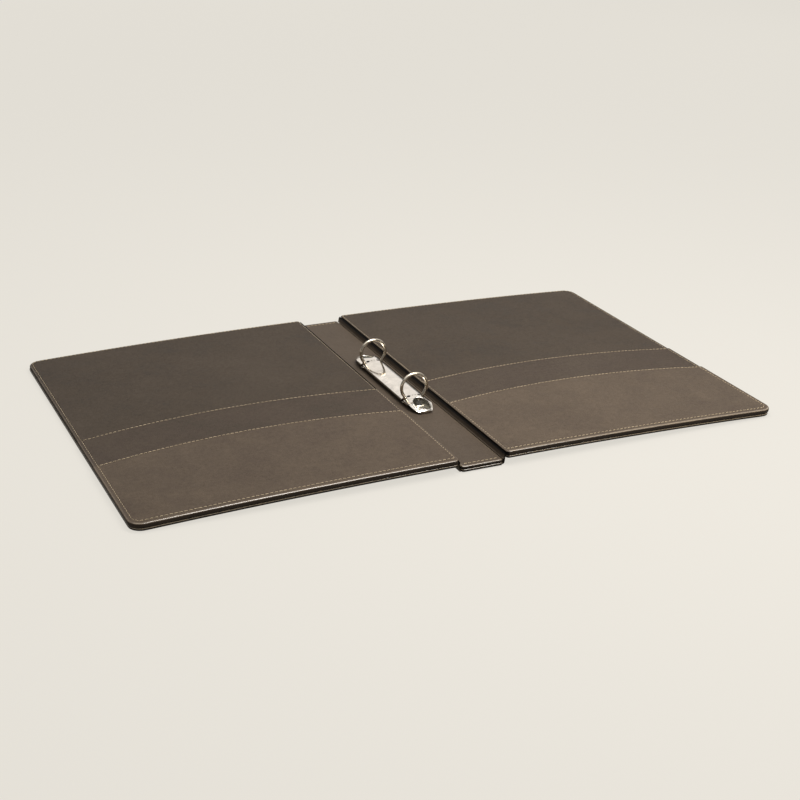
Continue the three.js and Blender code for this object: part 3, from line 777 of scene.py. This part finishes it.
for label, side in (("left", -1), ("right", 1)):
    hinge_piece(f"{label}_outer_hinge_skin", OUTER_HINGE, side,
                f"{label}_hinge_outer_leather", OUTER,
                OUTER_HINGE_SHADE)
    hinge_piece(f"{label}_lining_hinge_skin", LINING_HINGE, side,
                f"{label}_hinge_lining", SPINE_LINING,
                LINING_HINGE_SHADE)

# ---------------------------------------------------------------- sewing
STITCH_SIDES = 8
SUNK_GUTTER, SUNK_OUTER = 3.0, 3.5  # near these edges of a cover the seam lies deeper


def stitch_template():
    """One stitch along x, 1 long, its two ends sunk into their holes."""
    xs = [-0.5, -0.44, -0.3, 0.0, 0.3, 0.44, 0.5]
    rise = [-0.3, -0.05, 0.16, 0.22, 0.16, -0.05, -0.3]
    fat = [0.45, 0.8, 1.0, 1.0, 1.0, 0.8, 0.45]
    sides = STITCH_SIDES
    verts, faces = [], []
    for x, z, f in zip(xs, rise, fat):
        verts += [(x, f * c, z, f * s) for c, s in circle(sides)]
    for r in range(len(xs) - 1):
        for k in range(sides):
            j = (k + 1) % sides
            faces.append((r * sides + k, (r + 1) * sides + k, (r + 1) * sides + j, r * sides + j))
    faces.append(tuple(range(sides)))
    top = (len(xs) - 1) * sides
    faces.append(tuple(top + k for k in reversed(range(sides))))
    return np.array(verts), faces


STITCH = stitch_template()


def is_sunk(u):
    return u < SUNK_GUTTER or u > COVER_W - SUNK_OUTER


def sew(name, points, place, side, body, facing=1, radius=0.28):
    """A run of stitches along a polyline in panel space, evenly pitched; facing -1 is the underside."""
    seg = np.linalg.norm(np.diff(points[:, :2], axis=0), axis=1)
    run = np.concatenate([[0], np.cumsum(seg)])
    count = max(1, int(round(run[-1] / PITCH)))
    step = run[-1] / count
    template, template_faces = STITCH
    verts, faces = [], []
    for k in range(count):
        s = (k + 0.5) * step
        p = np.array([np.interp(s, run, points[:, i]) for i in range(3)])
        q = np.array([np.interp(min(s + 0.6, run[-1]), run, points[:, i]) for i in range(3)])
        o = np.array([np.interp(max(s - 0.6, 0), run, points[:, i]) for i in range(3)])
        t = q - o
        t /= np.linalg.norm(t)
        slant = 0.07 + 0.03 * math.sin(k * 12.9)
        n = np.array([-t[1], t[0], 0.0])
        n /= np.linalg.norm(n)
        t2 = t * math.cos(slant) + n * math.sin(slant)
        n2 = n * math.cos(slant) - t * math.sin(slant)
        size = STITCH_LENGTH * (1 + 0.05 * math.sin(k * 7.3 + 1))
        thick = radius * (0.72 if place is place_cover and is_sunk(p[0]) else 1.0)
        base = len(verts)
        for x, y, lift, z in template:
            v = p + t2 * x * size + n2 * y * thick
            v = v + np.array([0, 0, facing * (lift + z * thick * 0.8)])
            verts.append(v)
        faces += [tuple(base + i for i in f) for f in template_faces]
    verts = place(np.array(verts))
    if side < 0:
        verts = mirrored(verts)
    ob = mesh_object(name, verts, faces, THREAD)
    fix_normals(ob)
    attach(ob, body)


def border_line(box, height):
    """The seam round a cover, as a box u0, u1, v0, v1 with round outer corners."""
    u0, u1, v0, v1 = box
    r = SEAM_RADIUS
    arc = [math.radians(a) for a in range(-90, 1, 6)]
    loop = [(u, v0) for u in np.linspace(u0, u1 - r, 90)]
    loop += [(u1 - r + r * math.cos(a), v0 + r + r * math.sin(a)) for a in arc]
    loop += [(u1, v) for v in np.linspace(v0 + r, v1 - r, 110)]
    loop += [(u1 - r + r * math.cos(a + math.pi / 2), v1 - r + r * math.sin(a + math.pi / 2)) for a in arc]
    loop += [(u, v1) for u in np.linspace(u1 - r, u0, 90)]
    loop += [(u0, v) for v in np.linspace(v1, v0, 110)]
    keep = [loop[0]] + [q for p, q in zip(loop, loop[1:]) if math.dist(p, q) > 1e-6]
    return np.array([(u, v, height(u, v)) for u, v in keep])


def step_top(u, v):
    """Height of the sewn valley round a cover's inside, which steps up at each pocket."""
    blend = lambda x: 1 / (1 + math.exp(-max(-40.0, min(40.0, x / 0.25))))
    top = LINING_TOP
    top += (TALL_TOP - LINING_TOP) * blend(bow(TALL, u) - v)
    top += (SHORT_TOP - TALL_TOP) * blend(bow(SHORT, u) - v)
    return top + arch_of(u) - (0.22 if is_sunk(u) else 0.15)


for label, side in (("left", -1), ("right", 1)):
    body = f"{label}_cover"
    line = border_line(SEAM_BOX, step_top)
    sew(f"{label}_border_stitches", line, place_cover, side, body)
    inset = SEAM_IN_OUTSIDE
    line = border_line((inset, COVER_W - inset, -HEIGHT / 2 + inset, HEIGHT / 2 - inset),
                       lambda u, v: arch_of(u) + 0.2)
    sew(f"{label}_outside_stitches", line, place_cover, side, body, facing=-1)
    for pocket, spec, top, lift in (("tall", TALL, TALL_TOP, TALL_LIFT),
                                    ("short", SHORT, SHORT_TOP, SHORT_LIFT)):
        us = np.linspace(1.6, COVER_W - SEAM_IN_OUTER - 1.0, 120)
        line = np.array([(u, bow(spec, u) - EDGE_TO_SEAM, top + arch_of(u) - 0.14
                          + lift * (1 - (2 * u / COVER_W - 1) ** 2) * 0.9)
                         for u in us])
        sew(f"{label}_{pocket}_pocket_stitches", line, place_cover, side, body, radius=0.27)
for end, sign in (("front", -1), ("back", 1)):
    y = sign * (HEIGHT / 2 - SEAM_IN)
    us = np.linspace(3.2, SPINE_W - 3.2, 12)
    line = np.array([(u, y, SPINE_TOP - 0.14) for u in us])
    sew(f"spine_{end}_stitches", line, place_spine, 1, "spine")
    line = np.array([(u, y, 0.2) for u in us])
    sew(f"spine_{end}_outside_stitches", line, place_spine, 1, "spine", facing=-1)

# ---------------------------------------------------------------- ring mechanism
def smoothstep(a, b, x):
    t = min(max((x - a) / (b - a), 0.0), 1.0)
    return t * t * (3 - 2 * t)


END_OUTLINE = [(10.15, 48.0), (10.15, 49.6), (9.85, 50.8), (9.35, 54.0), (8.78, 56.0), (8.12, 58.0),
               (7.3, 60.0), (6.1, 61.9), (5.2, 62.8)]
OUTLINE_X, OUTLINE_Y = smooth_line(END_OUTLINE, 6).T
NOTCH_X, NOTCH_HALF = 6.4, 1.85  # the cut in each side that a wire swings in
PLATE_HOLES = ((-4.6, 1.45, 1.6), (4.6, 1.45, 1.6), (-1.25, 0.5, 0.6), (1.25, 0.5, 0.6))  # x, half sizes


def half_width(y):
    """Half the plate's width at y: full in the middle, drawn in to blunt ends."""
    return float(np.interp(abs(y), OUTLINE_Y, OUTLINE_X))


def drop(y):
    """How far the plate has bent down at y."""
    t = abs(y) - PLATE_BEND_Y
    if t <= 0:
        return 0.0
    bent = t * t / (2 * PLATE_BEND_LENGTH) if t < PLATE_BEND_LENGTH else t - PLATE_BEND_LENGTH / 2
    return PLATE_END_SLOPE * bent


def plate_top(x, y):
    return PLATE_CROWN - PLATE_ARC + math.sqrt(max(PLATE_ARC**2 - x**2, 0)) - drop(y)


def plate():
    """The crowned housing: an arched sheet with rolled sides, its holes, and a pressed cup at each end."""
    ys = set(np.round(np.arange(-37, 37.01, 1.0), 3))
    for s in (-1, 1):
        ys |= set(np.round(s * np.arange(42.6, 62.801, 0.4), 3))
        ys |= set(np.round(s * np.array([37.6, 37.95, 38.1, 38.3, 39.0, 39.5, 40.0, 40.5, 41.0, 41.7,
                                         41.9, 42.05, 42.3, 62.5, 62.7, 62.8]), 3))
    ys = np.array(sorted(ys))
    lip = [(0.35, 0.16), (0.55, 0.45), (0.6, 0.85), (0.6, 1.4)]
    columns = [(-1, dx, dz) for dx, dz in reversed(lip)]
    columns += [(s, None, None) for s in np.linspace(-1, 1, 57)]
    columns += [(1, dx, dz) for dx, dz in lip]
    n = len(columns)
    verts = []
    for y in ys:
        share = 1 - smoothstep(48.6, 51.0, abs(y))
        edge = half_width(y) - 0.6 * share - 0.02
        for s, dx, dz in columns:
            if dx is None:
                verts.append((s * edge, y, plate_top(s * edge, y)))
            else:
                x = s * (edge + dx * share + 0.0015 * dz)
                verts.append((x, y, plate_top(edge, y) - dz * share - 0.002 * dz))
    verts = np.array(verts)
    faces = []
    for j in range(len(ys) - 1):
        my = 0.5 * (ys[j] + ys[j + 1])
        for i in range(n - 1):
            corner = (j * n + i, j * n + i + 1, (j + 1) * n + i + 1, (j + 1) * n + i)
            mx = sum(verts[k][0] for k in corner) / 4
            if abs(mx) > NOTCH_X and abs(abs(my) - RING_Y) < NOTCH_HALF:
                continue
            faces.append(corner)
    used = sorted({i for f in faces for i in f})
    renumber = {old: new for new, old in enumerate(used)}
    faces = [tuple(renumber[i] for i in f) for f in faces]
    ob = mesh_object("ring_plate", verts[used], faces, NICKEL, np.zeros(len(used)))
    turn_sheet(ob, -1)
    solid = ob.modifiers.new("sheet", "SOLIDIFY")
    solid.thickness = PLATE_SHEET * MM
    solid.offset = -1.0
    solid.use_even_offset = False
    cutters = []
    for s in (-1, 1):
        for x, rx, ry in PLATE_HOLES:
            cutters.append(oval_prism(x, s * RING_Y, rx, ry, 5, 20))
        cutters.append(prism(cup_outline(s, 0.3, 72), 0, 20))
    tool = joined("plate_holes", cutters)
    cut = ob.modifiers.new("holes", "BOOLEAN")
    cut.operation = "DIFFERENCE"
    cut.solver = "EXACT"
    cut.object = tool
    soften(ob, 0.13)
    bake(ob)
    bpy.data.objects.remove(tool)
    with editing(ob.data) as bm:
        bmesh.ops.dissolve_degenerate(bm, edges=bm.edges, dist=0.005 * MM)  # slivers from the cut and bevel
        for s in (-1, 1):
            cup = dish(s)
            bm.from_mesh(cup.data)
            bpy.data.objects.remove(cup)
    tidy_shading(ob, 40)
    return ob


def cup_outline(side, inset, n):
    """An egg: round towards the ring, blunter towards the plate's end."""
    points = []
    for c, s in circle(n):
        outward = side * s > 0
        power = 2 / 3 if outward else 1.0
        reach = max((DISH_TO_END if outward else DISH_TO_RING) - inset, 0.05)
        x = math.copysign(abs(c) ** power, c) * max(DISH_X_HALF - inset, 0.05)
        points.append((x, side * DISH_Y + math.copysign(abs(s) ** power, s) * reach))
    return points


def dish(side, n=120):
    """A pressed cup with a rolled rim: rings from the foot's middle, up the outside, over and down inside."""
    profile = [  # inset from the outer oval, height above the plate (rim) or above the table (foot and floor)
        ("low", 6.0, 4.95), ("low", 2.2, 4.95), ("low", 0.9, 4.95), ("low", 0.35, 5.05), ("low", 0.06, 5.4),
        ("low", 0.0, 5.9), ("rim", 0.0, -1.1), ("rim", 0.0, -0.62), ("rim", -0.6, -0.3), ("rim", -0.65, 0.0),
        ("rim", -0.5, 0.06), ("rim", -0.25, 0.2), ("rim", 0.0, 0.29), ("rim", 0.2, 0.3), ("rim", 0.4, 0.22),
        ("rim", 0.54, 0.02), ("rim", 0.6, -0.3), ("rim", 0.66, -0.8), ("low", 1.5, 5.85), ("low", 1.62, 5.72),
        ("low", 1.8, 5.64), ("low", 2.1, 5.6), ("low", 2.9, 5.6), ("low", 6.0, 5.6),
    ]
    inside = [i for i, row in enumerate(profile) if row == ("rim", 0.6, -0.3)][0]
    verts, wear_and_painted_light = [], []
    for i, (kind, inset, z) in enumerate(profile):
        for x, y in cup_outline(side, inset, n):
            verts.append((x, y, plate_top(x, y) + z if kind == "rim" else z))
            # the cup's inside is marked -1, painted shade in the nickel material
            wear_and_painted_light.append(-1.0 if i >= inside else 0.0)
    faces = tube_faces(len(profile), n)
    faces.append(tuple(reversed(range(n))))
    last = (len(profile) - 1) * n
    faces.append(tuple(last + k for k in range(n)))
    ob = mesh_object("dish", np.array(verts), faces, NICKEL, np.array(wear_and_painted_light))
    fix_normals(ob)
    return ob


def prism(outline, z0, z1):
    n = len(outline)
    verts = [(x, y, z) for z in (z0, z1) for x, y in outline]
    faces = [(k, (k + 1) % n, n + (k + 1) % n, n + k) for k in range(n)]
    faces.append(tuple(reversed(range(n))))
    faces.append(tuple(n + k for k in range(n)))
    return verts, faces


def oval_prism(cx, cy, rx, ry, z0, z1, n=28):
    return prism([(cx + rx * c, cy + ry * s) for c, s in circle(n)], z0, z1)


def joined(name, solids):
    verts, faces = [], []
    for v, f in solids:
        base = len(verts)
        verts += list(v)
        faces += [tuple(base + i for i in face) for face in f]
    ob = mesh_object(name, np.array(verts), faces, NICKEL, smooth=False)
    ob.hide_render = True
    return ob


def tidy_shading(ob, angle):
    me = ob.data
    me.polygons.foreach_set("use_smooth", [True] * len(me.polygons))
    with editing(me) as bm:
        for e in bm.edges:
            e.smooth = not (len(e.link_faces) == 2 and e.calc_face_angle(0.0) > math.radians(angle))


def lathe(name, profile, y, material, n=64):
    """A round piece on an upright axis at y, from its radii and heights."""
    verts = [(r * c, y + r * s, z) for r, z in profile for c, s in circle(n)]
    ob = mesh_object(name, verts, tube_faces(len(profile), n), material)
    fix_normals(ob)
    tidy_shading(ob, 38)
    return ob


def rivet(name, y, node):
    head = 5.7
    radii = [3.56, 3.48, 3.36, 3.2, 2.95, 2.6, 2.2, 1.7, 1.1, 0.5, 0.0]
    dome = [(r, head + 0.3 + 1.3 * (1 - (r / 3.6) ** 3) ** 0.5) for r in radii]  # low and rather flat
    profile = [(0.0, 1.92), (3.8, 1.92), (3.9, 2.0), (3.9, 3.0), (3.8, 3.07), (2.0, 3.07), (2.0, head),
               (3.35, head), (3.54, head + 0.1), (3.6, head + 0.3), *dome]
    ob = lathe(name, profile, y, NICKEL)
    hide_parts(node)
    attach(ob, "spine")


ob = plate()
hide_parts("ring_housing")
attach(ob, "spine")
rivet("front_rivet", -RIVET_Y, "rivet_front")
rivet("back_rivet", RIVET_Y, "rivet_back")


def ring_line():
    """The middle of a half ring's wire, from its foot on the leaf to its tip at the top."""
    points = [(LEG_X, 7.35), (LEG_X, 9.4), (8.12, 10.9)]
    for angle in range(-38, 85, 12):
        a = math.radians(angle)
        points.append((RING_RADIUS * math.cos(a), RING_Z + RING_RADIUS * math.sin(a)))
    points.append((0.13, RING_Z + RING_RADIUS))
    return smooth_line(points, 7)


FOOT = ((0.0, -1.05), (1.9, -1.05), (2.1, -0.95), (2.1, -0.6), (2.0, -0.5), (0.0, -0.5))


def half_ring(name, side, y, body, node):
    """One bent wire with the flat head that rivets it under its leaf."""
    line = ring_line()
    tangent = np.gradient(line, axis=0)
    tangent /= np.linalg.norm(tangent, axis=1)[:, None]
    sides = 28
    verts = []
    last = len(line) - 1
    for i, ((x, z), (tx, tz)) in enumerate(zip(line, tangent)):
        shrink = {last: 0.86, last - 1: 0.985}.get(i, 1.0)  # the tip is rounded off
        if i == last:
            tx, tz = -1.0, 0.0
        for c, s in circle(sides):
            c, s = c * WIRE_RADIUS * shrink, s * WIRE_RADIUS * shrink
            verts.append((x - tz * c, y + s, z + tx * c))
    faces = tube_faces(len(line), sides)
    faces.append(tuple(range(sides)))
    faces.append(tuple(last * sides + k for k in reversed(range(sides))))
    base = len(verts)
    slope = math.radians(LEAF_SLOPE)
    foot_z = PIVOT_Z - (PIVOT_X - LEG_X) * math.tan(slope)
    for r, h in FOOT:
        for c, s in circle(sides):
            verts.append((LEG_X + r * c * math.cos(slope) - h * math.sin(slope), y + r * s,
                          foot_z + r * c * math.sin(slope) + h * math.cos(slope)))
    faces += tube_faces(len(FOOT), sides, base)
    verts = np.array(verts)
    if side < 0:
        verts = mirrored(verts)
    ob = mesh_object(name, verts, faces, WIRE)
    fix_normals(ob)
    tidy_shading(ob, 40)
    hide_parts(node)
    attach(ob, body)


for label, side in (("left", -1), ("right", 1)):
    for end, sign in (("front", -1), ("back", 1)):
        half_ring(f"{label}_{end}_ring", side, sign * RING_Y, f"{label}_ring_side",
                  f"{label}_half_ring_{end}")

# ---------------------------------------------------------------- CAD nodes that stay
for name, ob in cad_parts.items():
    if name.endswith("board"):
        material = BOARD
    elif "leaf" in name:
        material = STEEL
    elif "leather" in name or "lining" in name or "pocket" in name:
        material = LINING
    else:
        material = NICKEL
    for slot in ob.material_slots:
        slot.material = material
    if not ob.material_slots:
        ob.data.materials.append(material)
    if "leaf" in name:
        soften(ob, 0.1)

# ---------------------------------------------------------------- floor, light
def floor():
    """A wide pale floor just under the binder. It glows a little, so that it stays evenly pale."""
    me = bpy.data.meshes.new("floor")
    with editing(me) as bm:
        bmesh.ops.create_grid(bm, x_segments=2, y_segments=2, size=9.0)
    n = Nodes("pale_floor")
    me.materials.append(n.surface(Base_Color=srgb(80, 78, 75), Roughness=0.95, Specular_IOR_Level=0.0,
                                  Emission_Color=srgb(233, 229, 220), Emission_Strength=0.845))
    ob = new_object("floor", me)
    ob.location.z = -0.0006


floor()


def area_light(name, location, target, size, watts, colour):
    data = bpy.data.lights.new(name, "AREA")
    data.shape = "RECTANGLE"
    data.size, data.size_y = size
    data.energy = watts
    data.color = colour
    ob = new_object(name, data)
    ob.location = location
    ob.rotation_euler = (Vector(target) - Vector(location)).to_track_quat("-Z", "Y").to_euler()


area_light("key", (0.24, -0.35, 0.82), (0.5, -0.15, 0.0), (1.2, 0.32), 14.2, (1.0, 0.97, 0.925))
area_light("back_card", (0.63, 2.73, 1.08), (0.0, 0.0, 0.1), (3.2, 1.7), 16, (1.0, 0.955, 0.91))
area_light("side_card", (1.75, 0.95, 0.85), (0.0, 0.0, 0.0), (1.3, 1.0), 4, (1.0, 0.97, 0.92))


def studio_world():
    """A room that is bright overhead and dim lower down."""
    world = bpy.data.worlds.new("studio")
    world.use_nodes = True
    tree = world.node_tree
    coord = tree.nodes.new("ShaderNodeTexCoord")
    split = tree.nodes.new("ShaderNodeSeparateXYZ")
    ramp = tree.nodes.new("ShaderNodeValToRGB")
    for el, (pos, v) in zip(ramp.color_ramp.elements, ((0.5, 0.14), (0.88, 1.05))):
        el.position = pos
        el.color = (v, v * 0.985, v * 0.96, 1.0)
    tree.links.new(coord.outputs["Generated"], split.inputs[0])
    tree.links.new(split.outputs["Z"], ramp.inputs["Fac"])
    seen = tree.nodes.new("ShaderNodeMix")  # looked at directly, the room is as pale as the floor
    seen.data_type = "RGBA"
    tree.links.new(tree.nodes.new("ShaderNodeLightPath").outputs["Is Camera Ray"], seen.inputs["Factor"])
    tree.links.new(ramp.outputs["Color"], seen.inputs[6])
    seen.inputs[7].default_value = srgb(222, 218, 210)
    tree.links.new(seen.outputs[2], tree.nodes["Background"].inputs["Color"])
    tree.nodes["Background"].inputs["Strength"].default_value = 1.0
    bpy.context.scene.world = world


studio_world()
